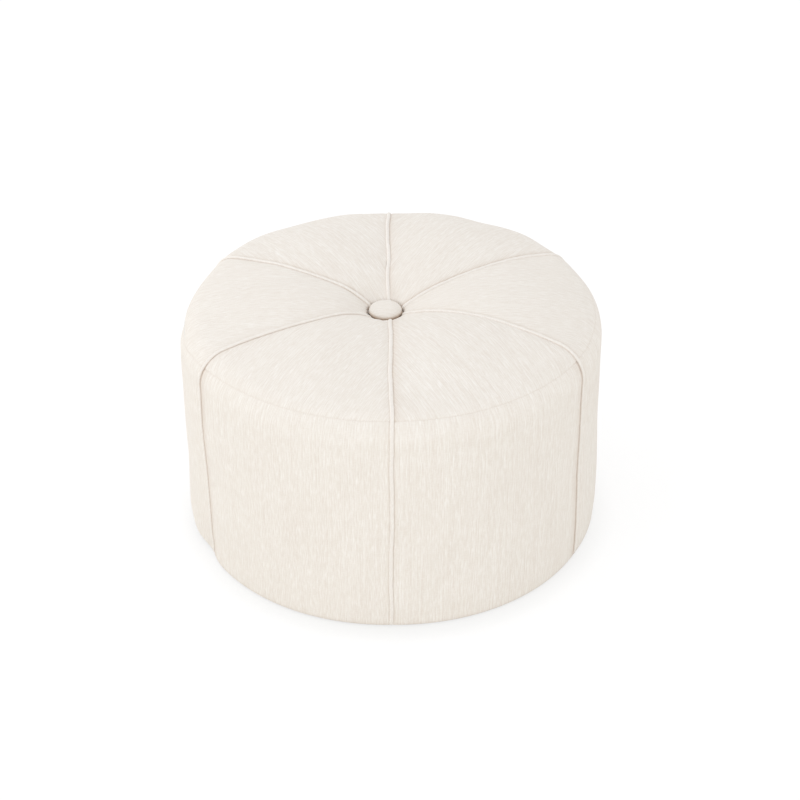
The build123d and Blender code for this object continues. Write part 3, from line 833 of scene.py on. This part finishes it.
class OTTOMAN_OT_top_panels(bpy.types.Operator):
    """Six wedge panels of the top, crowned between the welts and drawn down at the button"""

    bl_idname = "ottoman.top_panels"
    bl_label = "Top panels"

    def execute(self, context):
        material = slub_linen("Slub linen, panels", context.scene.ottoman_cloth)
        add_panels(context.scene.ottoman_cover, "top", top_face, material)
        return {"FINISHED"}


class OTTOMAN_OT_side_panels(bpy.types.Operator):
    """Six side panels from the shoulder seam to the hem that turns under"""

    bl_idname = "ottoman.side_panels"
    bl_label = "Side panels"

    def execute(self, context):
        material = bpy.data.materials["Slub linen, panels"]
        add_panels(context.scene.ottoman_cover, "side", side_face, material)
        return {"FINISHED"}


class OTTOMAN_OT_welts(bpy.types.Operator):
    """Six covered welts from the button over the top and down the side"""

    bl_idname = "ottoman.welts"
    bl_label = "Welts"

    def execute(self, context):
        # The welts' cloth is mixed 0.3 of the way to the slub colour: a painted highlight for the lit ridges of the
        # cords.
        material = slub_linen("Slub linen, bias-cut welts", context.scene.ottoman_cloth, 0.3)
        for number in range(PANELS):
            loops, length, around = welt_loops(context.scene.ottoman_cover, number)
            # The strip is cut on the bias, so its yarns cross the cord at 42 degrees.
            bias = math.radians(42)
            across, along = np.meshgrid(around * WELT_RADIUS, length)
            weft = across * math.cos(bias) + along * math.sin(bias)
            warp = along * math.cos(bias) - across * math.sin(bias)
            cloth = np.stack([weft, warp, 0 * across + 9 * number * MM], axis=-1).reshape(-1, 3) / MM
            # Painted shade on the cord's two flanks, and low in the well round the button
            painted_flank_shade = (np.abs(np.sin(around)) - 0.8).clip(0) * 2.0
            near_button = np.hypot(loops[..., 0], loops[..., 1]) < 60 * MM
            painted_well_shade = 0.5 * np.clip((WELL_FLOOR + 6 * MM - loops[..., 2]) / (5 * MM), 0, 1) * near_button
            shade = np.maximum(painted_flank_shade, painted_well_shade).ravel()
            names = (f"welt_cover_{number + 1}", f"welt_{number + 1}", "welt_linen")
            add_piece(*names, material, *tube(loops), with_ends(cloth), with_ends(shade))
        return {"FINISHED"}


class OTTOMAN_OT_button(bpy.types.Operator):
    """Cloth drawn over the button and gathered under its rim"""

    bl_idname = "ottoman.button"
    bl_label = "Button cover"

    def execute(self, context):
        # The padded cloth stands 0.8 mm further out at the rim than the node and 3 mm higher in the middle.
        rim_radius = 7.2 * MM
        rim = (BUTTON_RADIUS + 0.8 * MM - rim_radius, BUTTON[0].z + rim_radius)
        top = BUTTON[1].z + 3 * MM
        rise = top - rim[1]
        dome = (rim[0] ** 2 + rise**2 - rim_radius**2) / (2 * (rise - rim_radius))
        centre = top - dome
        meet = math.atan2(rim[1] - centre, rim[0])

        def path(inset):
            """Half outline of the cloth from near the middle of the top to the edge turned in under the rim."""
            return (
                (0.0, centre, dome - inset, math.pi / 2 - 0.01, meet),
                (*rim, rim_radius - inset, meet, -math.pi / 2),
                (rim[0], BUTTON[0].z + inset, rim[0] - 7 * MM, BUTTON[0].z + inset),
            )

        rows = even_rows(0, 14, 14, 4) + [(2, 1.0)]
        shape = (len(rows), 72)
        azimuth = np.broadcast_to(np.linspace(0, math.tau, shape[1], endpoint=False), shape)
        loops = []
        for inset in (0.0, FABRIC):
            profile = profile_rows(path(inset), rows, shape)
            low = ((rim[1] + 3 * MM - profile[..., 1]) / (9 * MM)).clip(0, 1)
            gathers = 1 + 0.02 * np.sin(azimuth * 22 + 2 * np.sin(3 * azimuth)) * low
            points = around_axis(profile[..., 0] * gathers, azimuth, profile[..., 1])
            points[..., 2] += 0.3 * MM * waves(points, (0.03, 0.022, 0.04), 5) * (1 - low)
            loops.append(points + np.array([BUTTON_X, 0, 0]))
        steps = np.linalg.norm(np.diff(profile, axis=0), axis=-1)
        length = np.concatenate([0 * steps[:1], np.cumsum(steps, axis=0)])
        cloth = np.stack([length * np.sin(azimuth), length * np.cos(azimuth), 0 * length + 7 * MM], axis=-1) / MM
        # Painted shade on the lower part of the rim, where the cloth turns under into the gap
        shade = ((rim[1] + 3.5 * MM - profile[..., 1]) / (4.5 * MM)).clip(0, 0.85)
        body = tube(np.concatenate([loops[0], loops[1][::-1]]))
        cloth = np.concatenate([cloth, cloth[::-1]]).reshape(-1, 3)
        shade = np.concatenate([shade, shade[::-1]]).ravel()
        material = bpy.data.materials["Slub linen, panels"]
        names = ("button_linen", "button_cover", "cover_linen")
        button = add_piece(*names, material, *body, with_ends(cloth), with_ends(shade))
        return {"FINISHED"}


# Room between the filling and the cloth, and the foam's hole for the twine and rounded edge
GAP = 0.6 * MM
BORE = 7 * MM
FOAM_EDGE = 32 * MM
FOAM_ROWS = even_rows(0, 8, 8, 8, 8) + [(3, 1.0)]
# Azimuths of the filling's columns, each one's share of the way from a panel's middle to its edge, and its
# angle to the nearest welt
AROUND = np.linspace(0, math.tau, 180, endpoint=False)
ACROSS = ((AROUND + HALF_ANGLE) % PANEL_ANGLE - HALF_ANGLE) / HALF_ANGLE
TO_WELT = np.abs(np.abs(ACROSS) - 1) * HALF_ANGLE


def foam_top(extra):
    """The foam's upper outline with this much added outwards, from the bore to the edge's foot."""
    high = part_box("foam_pad")[1]
    dish, top = WELL_FLOOR - FABRIC - GAP - 5 * MM + extra, high.z + extra
    return (
        (BORE, dish, 46 * MM, dish),
        (46 * MM, dish, 115 * MM, top),
        (115 * MM, top, high.x - FOAM_EDGE, top),
        (high.x - FOAM_EDGE, high.z - FOAM_EDGE, FOAM_EDGE + extra, math.pi / 2, 0.0),
    )


class OTTOMAN_OT_foam(bpy.types.Operator):
    """Foam pad, bored for the twine, dished under the button and rounded at its edge"""

    bl_idname = "ottoman.foam"
    bl_label = "Foam pad"

    def execute(self, context):
        low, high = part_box("foam_pad")
        top = profile_rows(foam_top(0.0), FOAM_ROWS, (len(FOAM_ROWS), AROUND.size))
        foot = np.broadcast_to([[high.x, low.z], [BORE, low.z]], (AROUND.size, 2, 2)).transpose(1, 0, 2)
        loop = np.concatenate([top, foot])
        loops = around_axis(loop[..., 0], AROUND, loop[..., 1])
        loops[..., 0] += (loop[..., 0] < 40 * MM) * BUTTON_X
        body = ring_body(loops.transpose(1, 0, 2))
        foam = add_piece("foam_block", "foam_pad", "foam", cut_foam(), *body)
        return {"FINISHED"}


class OTTOMAN_OT_wadding(bpy.types.Operator):
    """Fibre wadding that fills the six crowns up to the cloth and is pulled in along the welts"""

    bl_idname = "ottoman.wadding"
    bl_label = "Wadding"

    def execute(self, context):
        cover = context.scene.ottoman_cover
        rows = TOP_ROWS[8:]
        profile = profile_rows(top_path(cover, AROUND, ACROSS), rows, (len(rows), AROUND.size))
        face = around_axis(profile[..., 0], AROUND, profile[..., 1])
        normals = unit(np.cross(np.gradient(face, axis=0), np.roll(face, -1, axis=1) - np.roll(face, 1, axis=1)))
        steps = np.linalg.norm(np.diff(face, axis=0, append=face[-1:]), axis=-1)
        from_seam = np.cumsum(steps[::-1], axis=0)[::-1]
        depth = FABRIC + GAP - padding_move(cover, face) + drawn_in(AROUND, from_seam)
        depth += 6.5 * MM * fade(profile[..., 0] * np.sin(TO_WELT), 7 * MM, 2)
        crown = face - normals * depth[..., None]
        crown[..., 2] = np.maximum(crown[..., 2], WELL_FLOOR - FABRIC - GAP - 2 * MM)
        crown = crown[crown[..., 2].max(axis=1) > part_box("crown_wadding")[0].z + 1 * MM]
        bottom = profile_rows(foam_top(0.3 * MM), FOAM_ROWS, (len(FOAM_ROWS), AROUND.size))[::-1]
        loops = np.concatenate([crown, around_axis(bottom[..., 0], AROUND, bottom[..., 1])])
        body = ring_body(loops.transpose(1, 0, 2))
        wadding = add_piece("fibre_wadding", "crown_wadding", "wadding", polyester_wadding(), *body)
        return {"FINISHED"}


class OTTOMAN_OT_felt(bpy.types.Operator):
    """Felt bent round the skin, full between the welts and grooved under them"""

    bl_idname = "ottoman.felt"
    bl_label = "Felt wrap"

    def execute(self, context):
        cover = context.scene.ottoman_cover
        low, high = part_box("side_padding")
        foot = np.maximum(low.z, hem_level(AROUND) + 7 * MM)
        levels = foot + (high.z - foot) * np.linspace(0, 1, 40)[:, None]
        reach = side_reach(cover, ACROSS)
        face = around_axis(reach, AROUND, levels)
        beside = cover.side_radius * np.sin(TO_WELT)
        depth = FABRIC + GAP - padding_move(cover, face).clip(None, 0) + 4 * MM * fade(beside, 6 * MM, 2)
        depth = depth + drawn_in(AROUND, (high.z - 4 * MM - levels).clip(0), below=True)
        depth = depth - hem_flare(AROUND).clip(None, 0) * (1 - levels / high.z)
        outer = around_axis(reach - depth.clip(None, 7.4 * MM), AROUND, levels)
        inner = around_axis(high.x - 8 * MM, AROUND, levels[::-1])
        loops = np.concatenate([outer, inner])
        body = ring_body(loops.transpose(1, 0, 2))
        felt = add_piece("felt_wrap", "side_padding", "felt", needled_felt(), *body)
        return {"FINISHED"}


class OTTOMAN_OT_dust_cover(bpy.types.Operator):
    """Black cloth nailed under the drum, slack between the glides"""

    bl_idname = "ottoman.dust_cover"
    bl_label = "Dust cover"

    def execute(self, context):
        low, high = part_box("dust_cover")
        radius = high.x
        nails = math.hypot(*(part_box("glide_1")[0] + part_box("glide_1")[1])[:2]) / 2
        shares = np.linspace(0.02, 1, 34)[:, None]
        azimuth = np.linspace(0, math.tau, 144, endpoint=False)[None, :]
        hung = np.clip(1 - (shares * radius / nails) ** 2, 0, 1)
        ripples = np.sin(azimuth * PANELS * 2 + 3 * shares) * np.sin(np.pi * shares) ** 2
        sag = -1.2 * MM * hung + 0.5 * MM * ripples * np.clip(1 - shares, 0, 0.3) / 0.3
        lower = around_axis(shares * radius, azimuth, low.z + sag)
        upper = around_axis(shares * radius, azimuth, high.z + sag)
        body = tube(np.concatenate([lower, upper[::-1]]))
        sheet = add_piece("dust_cloth_sheet", "dust_cover", "dust_cloth", spun_bonded_cloth(), *body)
        return {"FINISHED"}


class OTTOMAN_OT_frame_finishes(bpy.types.Operator):
    """Bare wood, metal, twine and plastic of the pieces that keep their solids"""

    bl_idname = "ottoman.frame_finishes"
    bl_label = "Frame finishes"

    def execute(self, context):
        finishes = (
            (birch_plywood(), ["base_ring", "top_board"]),
            (planed_pine(), [f"upright_{number + 1}" for number in range(PANELS)]),
            (smooth_hardboard(), ["drum_skin"]),
            (turned_beech(), ["tuft_toggle"]),
            (zinc_plated_steel(), ["top_screws", "base_screws", "glide_nails", "button_shell", "button_back"]),
            (waxed_twine(), ["tuft_twine"]),
            (moulded_polyethylene(), [f"glide_{number + 1}" for number in range(PANELS)]),
        )
        for material, names in finishes:
            for name in names:
                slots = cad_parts[name].data.materials
                slots.clear()
                slots.append(material)
        return {"FINISHED"}


def seen_directly(tree):
    """Socket that is one for camera, glossy and transmission rays, which see the white surroundings."""
    paths = add_node(tree, "LightPath").outputs
    seen = paths["Is Camera Ray"]
    for ray in ("Is Glossy Ray", "Is Transmission Ray"):
        seen = add_node(tree, "Math", {"operation": "MAXIMUM"}, {0: seen, 1: paths[ray]}).outputs[0]
    return seen


class OTTOMAN_OT_stage(bpy.types.Operator):
    """Pale floor, white surroundings, soft light and the camera"""

    bl_idname = "ottoman.stage"
    bl_label = "Stage"

    def execute(self, context):
        scene = context.scene
        stage = scene.ottoman_stage
        scene.view_settings.view_transform = "Standard"

        scene.world = bpy.data.worlds.new("Even studio light")
        scene.world.use_nodes = True
        tree = scene.world.node_tree
        tree.nodes.clear()
        light = add_node(tree, "Background", {}, {"Color": linear("#FFFFFF"), "Strength": stage.sky})
        white = add_node(tree, "Background", {}, {"Color": linear("#FFFFFF"), "Strength": 1.0})
        both = add_node(tree, "MixShader", {}, {0: seen_directly(tree), 1: light.outputs[0], 2: white.outputs[0]})
        add_node(tree, "OutputWorld", {}, {"Surface": both.outputs[0]})

        # The camera sees the paper at full white, with a share of the shadow left on it and a painted contact shadow.
        # The light that the paper throws back at the cloth is a little warm.
        paper, tree = new_material("White paper sweep")
        bounce = add_node(tree, "BsdfDiffuse", {}, {"Color": linear("#E9E7E2")})
        # Painted contact shadow: the paper's colour darkens where ambient occlusion, taken round a normal tilted to
        # the back, finds the drum close, so it is deepest in front.
        behind = add_node(tree, "VectorMath", {"operation": "NORMALIZE"}, {0: (-0.15, 0.8, 0.6)}).outputs[0]
        reach = {"Distance": 40 * MM, "Normal": behind}
        near = add_node(tree, "AmbientOcclusion", {"samples": 8}, reach).outputs["AO"]
        tones = {0: near, 6: linear("#C9C9C5"), 7: linear("#FFFFFF")}
        colour = add_node(tree, "Mix", {"data_type": "RGBA"}, tones).outputs[2]
        lit = add_node(tree, "BsdfDiffuse", {}, {"Color": colour})
        glow = add_node(tree, "Emission", {}, {"Color": linear("#FFFFFF"), "Strength": 1.03})
        seen = add_node(tree, "MixShader", {}, {0: 1 - stage.shadow, 1: lit.outputs[0], 2: glow.outputs[0]})
        both = add_node(tree, "MixShader", {}, {0: seen_directly(tree), 1: bounce.outputs[0], 2: seen.outputs[0]})
        add_node(tree, "OutputMaterial", {}, {"Surface": both.outputs[0]})
        half = 6.0
        mesh = bpy.data.meshes.new("floor")
        mesh.from_pydata([(-half, -half, 0), (half, -half, 0), (half, half, 0), (-half, half, 0)], [], [(0, 1, 2, 3)])
        mesh.materials.append(paper)
        floor = bpy.data.objects.new("floor", mesh)
        scene.collection.objects.link(floor)

        for name, place, size, power in (
            ("left_softbox", (-2.2, -2.2, 1.35), 1.2, stage.left_power),
            ("right_softbox", (2.4, -2.5, 0.8), 2.4, stage.right_power),
            ("back_softbox", (-2.3, 1.8, 1.9), 2.0, stage.back_power),
        ):
            lamp = bpy.data.lights.new(name, "AREA")
            lamp.shape = "SQUARE"
            lamp.size = size
            lamp.energy = power
            holder = bpy.data.objects.new(name, lamp)
            holder.location = place
            holder.rotation_euler = (Vector((0, 0, 0.25)) - Vector(place)).to_track_quat("-Z", "Y").to_euler()
            scene.collection.objects.link(holder)

        camera = bpy.data.cameras.new("camera")
        camera.lens = stage.lens
        camera.sensor_width = 36
        camera.dof.use_dof = False
        holder = bpy.data.objects.new("camera", camera)
        scene.collection.objects.link(holder)
        back = Vector((0, -math.cos(stage.elevation), math.sin(stage.elevation)))
        holder.location = Vector((0, 0, stage.aim_height)) + back * stage.distance
        level = (-back).to_track_quat("-Z", "Y").to_matrix()
        holder.rotation_euler = (level @ Euler((0, stage.yaw, stage.roll)).to_matrix()).to_euler()
        scene.camera = holder
        return {"FINISHED"}


class OTTOMAN_PT_panel(bpy.types.Panel):
    """Lists the pieces in the sidebar"""

    bl_idname = "OTTOMAN_PT_panel"
    bl_label = "Ottoman"
    bl_space_type = "VIEW_3D"
    bl_region_type = "UI"
    bl_category = "Ottoman"

    def draw(self, context):
        for name in SETTINGS:
            settings = getattr(context.scene, name)
            box = self.layout.box()
            for key in settings.__annotations__:
                box.prop(settings, key)
        for operator in OPERATORS:
            self.layout.operator(operator.bl_idname)


SETTINGS = {"ottoman_cover": OttomanCover, "ottoman_cloth": OttomanCloth, "ottoman_stage": OttomanStage}
OPERATORS = (
    OTTOMAN_OT_top_panels,
    OTTOMAN_OT_side_panels,
    OTTOMAN_OT_welts,
    OTTOMAN_OT_button,
    OTTOMAN_OT_foam,
    OTTOMAN_OT_wadding,
    OTTOMAN_OT_felt,
    OTTOMAN_OT_dust_cover,
    OTTOMAN_OT_frame_finishes,
    OTTOMAN_OT_stage,
)


def register():
    for cls in (*SETTINGS.values(), *OPERATORS, OTTOMAN_PT_panel):
        bpy.utils.register_class(cls)
    for name, cls in SETTINGS.items():
        setattr(bpy.types.Scene, name, PointerProperty(type=cls))


def unregister():
    for name in SETTINGS:
        delattr(bpy.types.Scene, name)
    for cls in reversed((*SETTINGS.values(), *OPERATORS, OTTOMAN_PT_panel)):
        bpy.utils.unregister_class(cls)


def main():
    """Builds every piece."""
    register()
    bpy.ops.ottoman.top_panels()
    bpy.ops.ottoman.side_panels()
    bpy.ops.ottoman.welts()
    bpy.ops.ottoman.button()
    bpy.ops.ottoman.foam()
    bpy.ops.ottoman.wadding()
    bpy.ops.ottoman.felt()
    bpy.ops.ottoman.dust_cover()
    bpy.ops.ottoman.frame_finishes()
    bpy.ops.ottoman.stage()


if __name__ == "__main__":
    main()
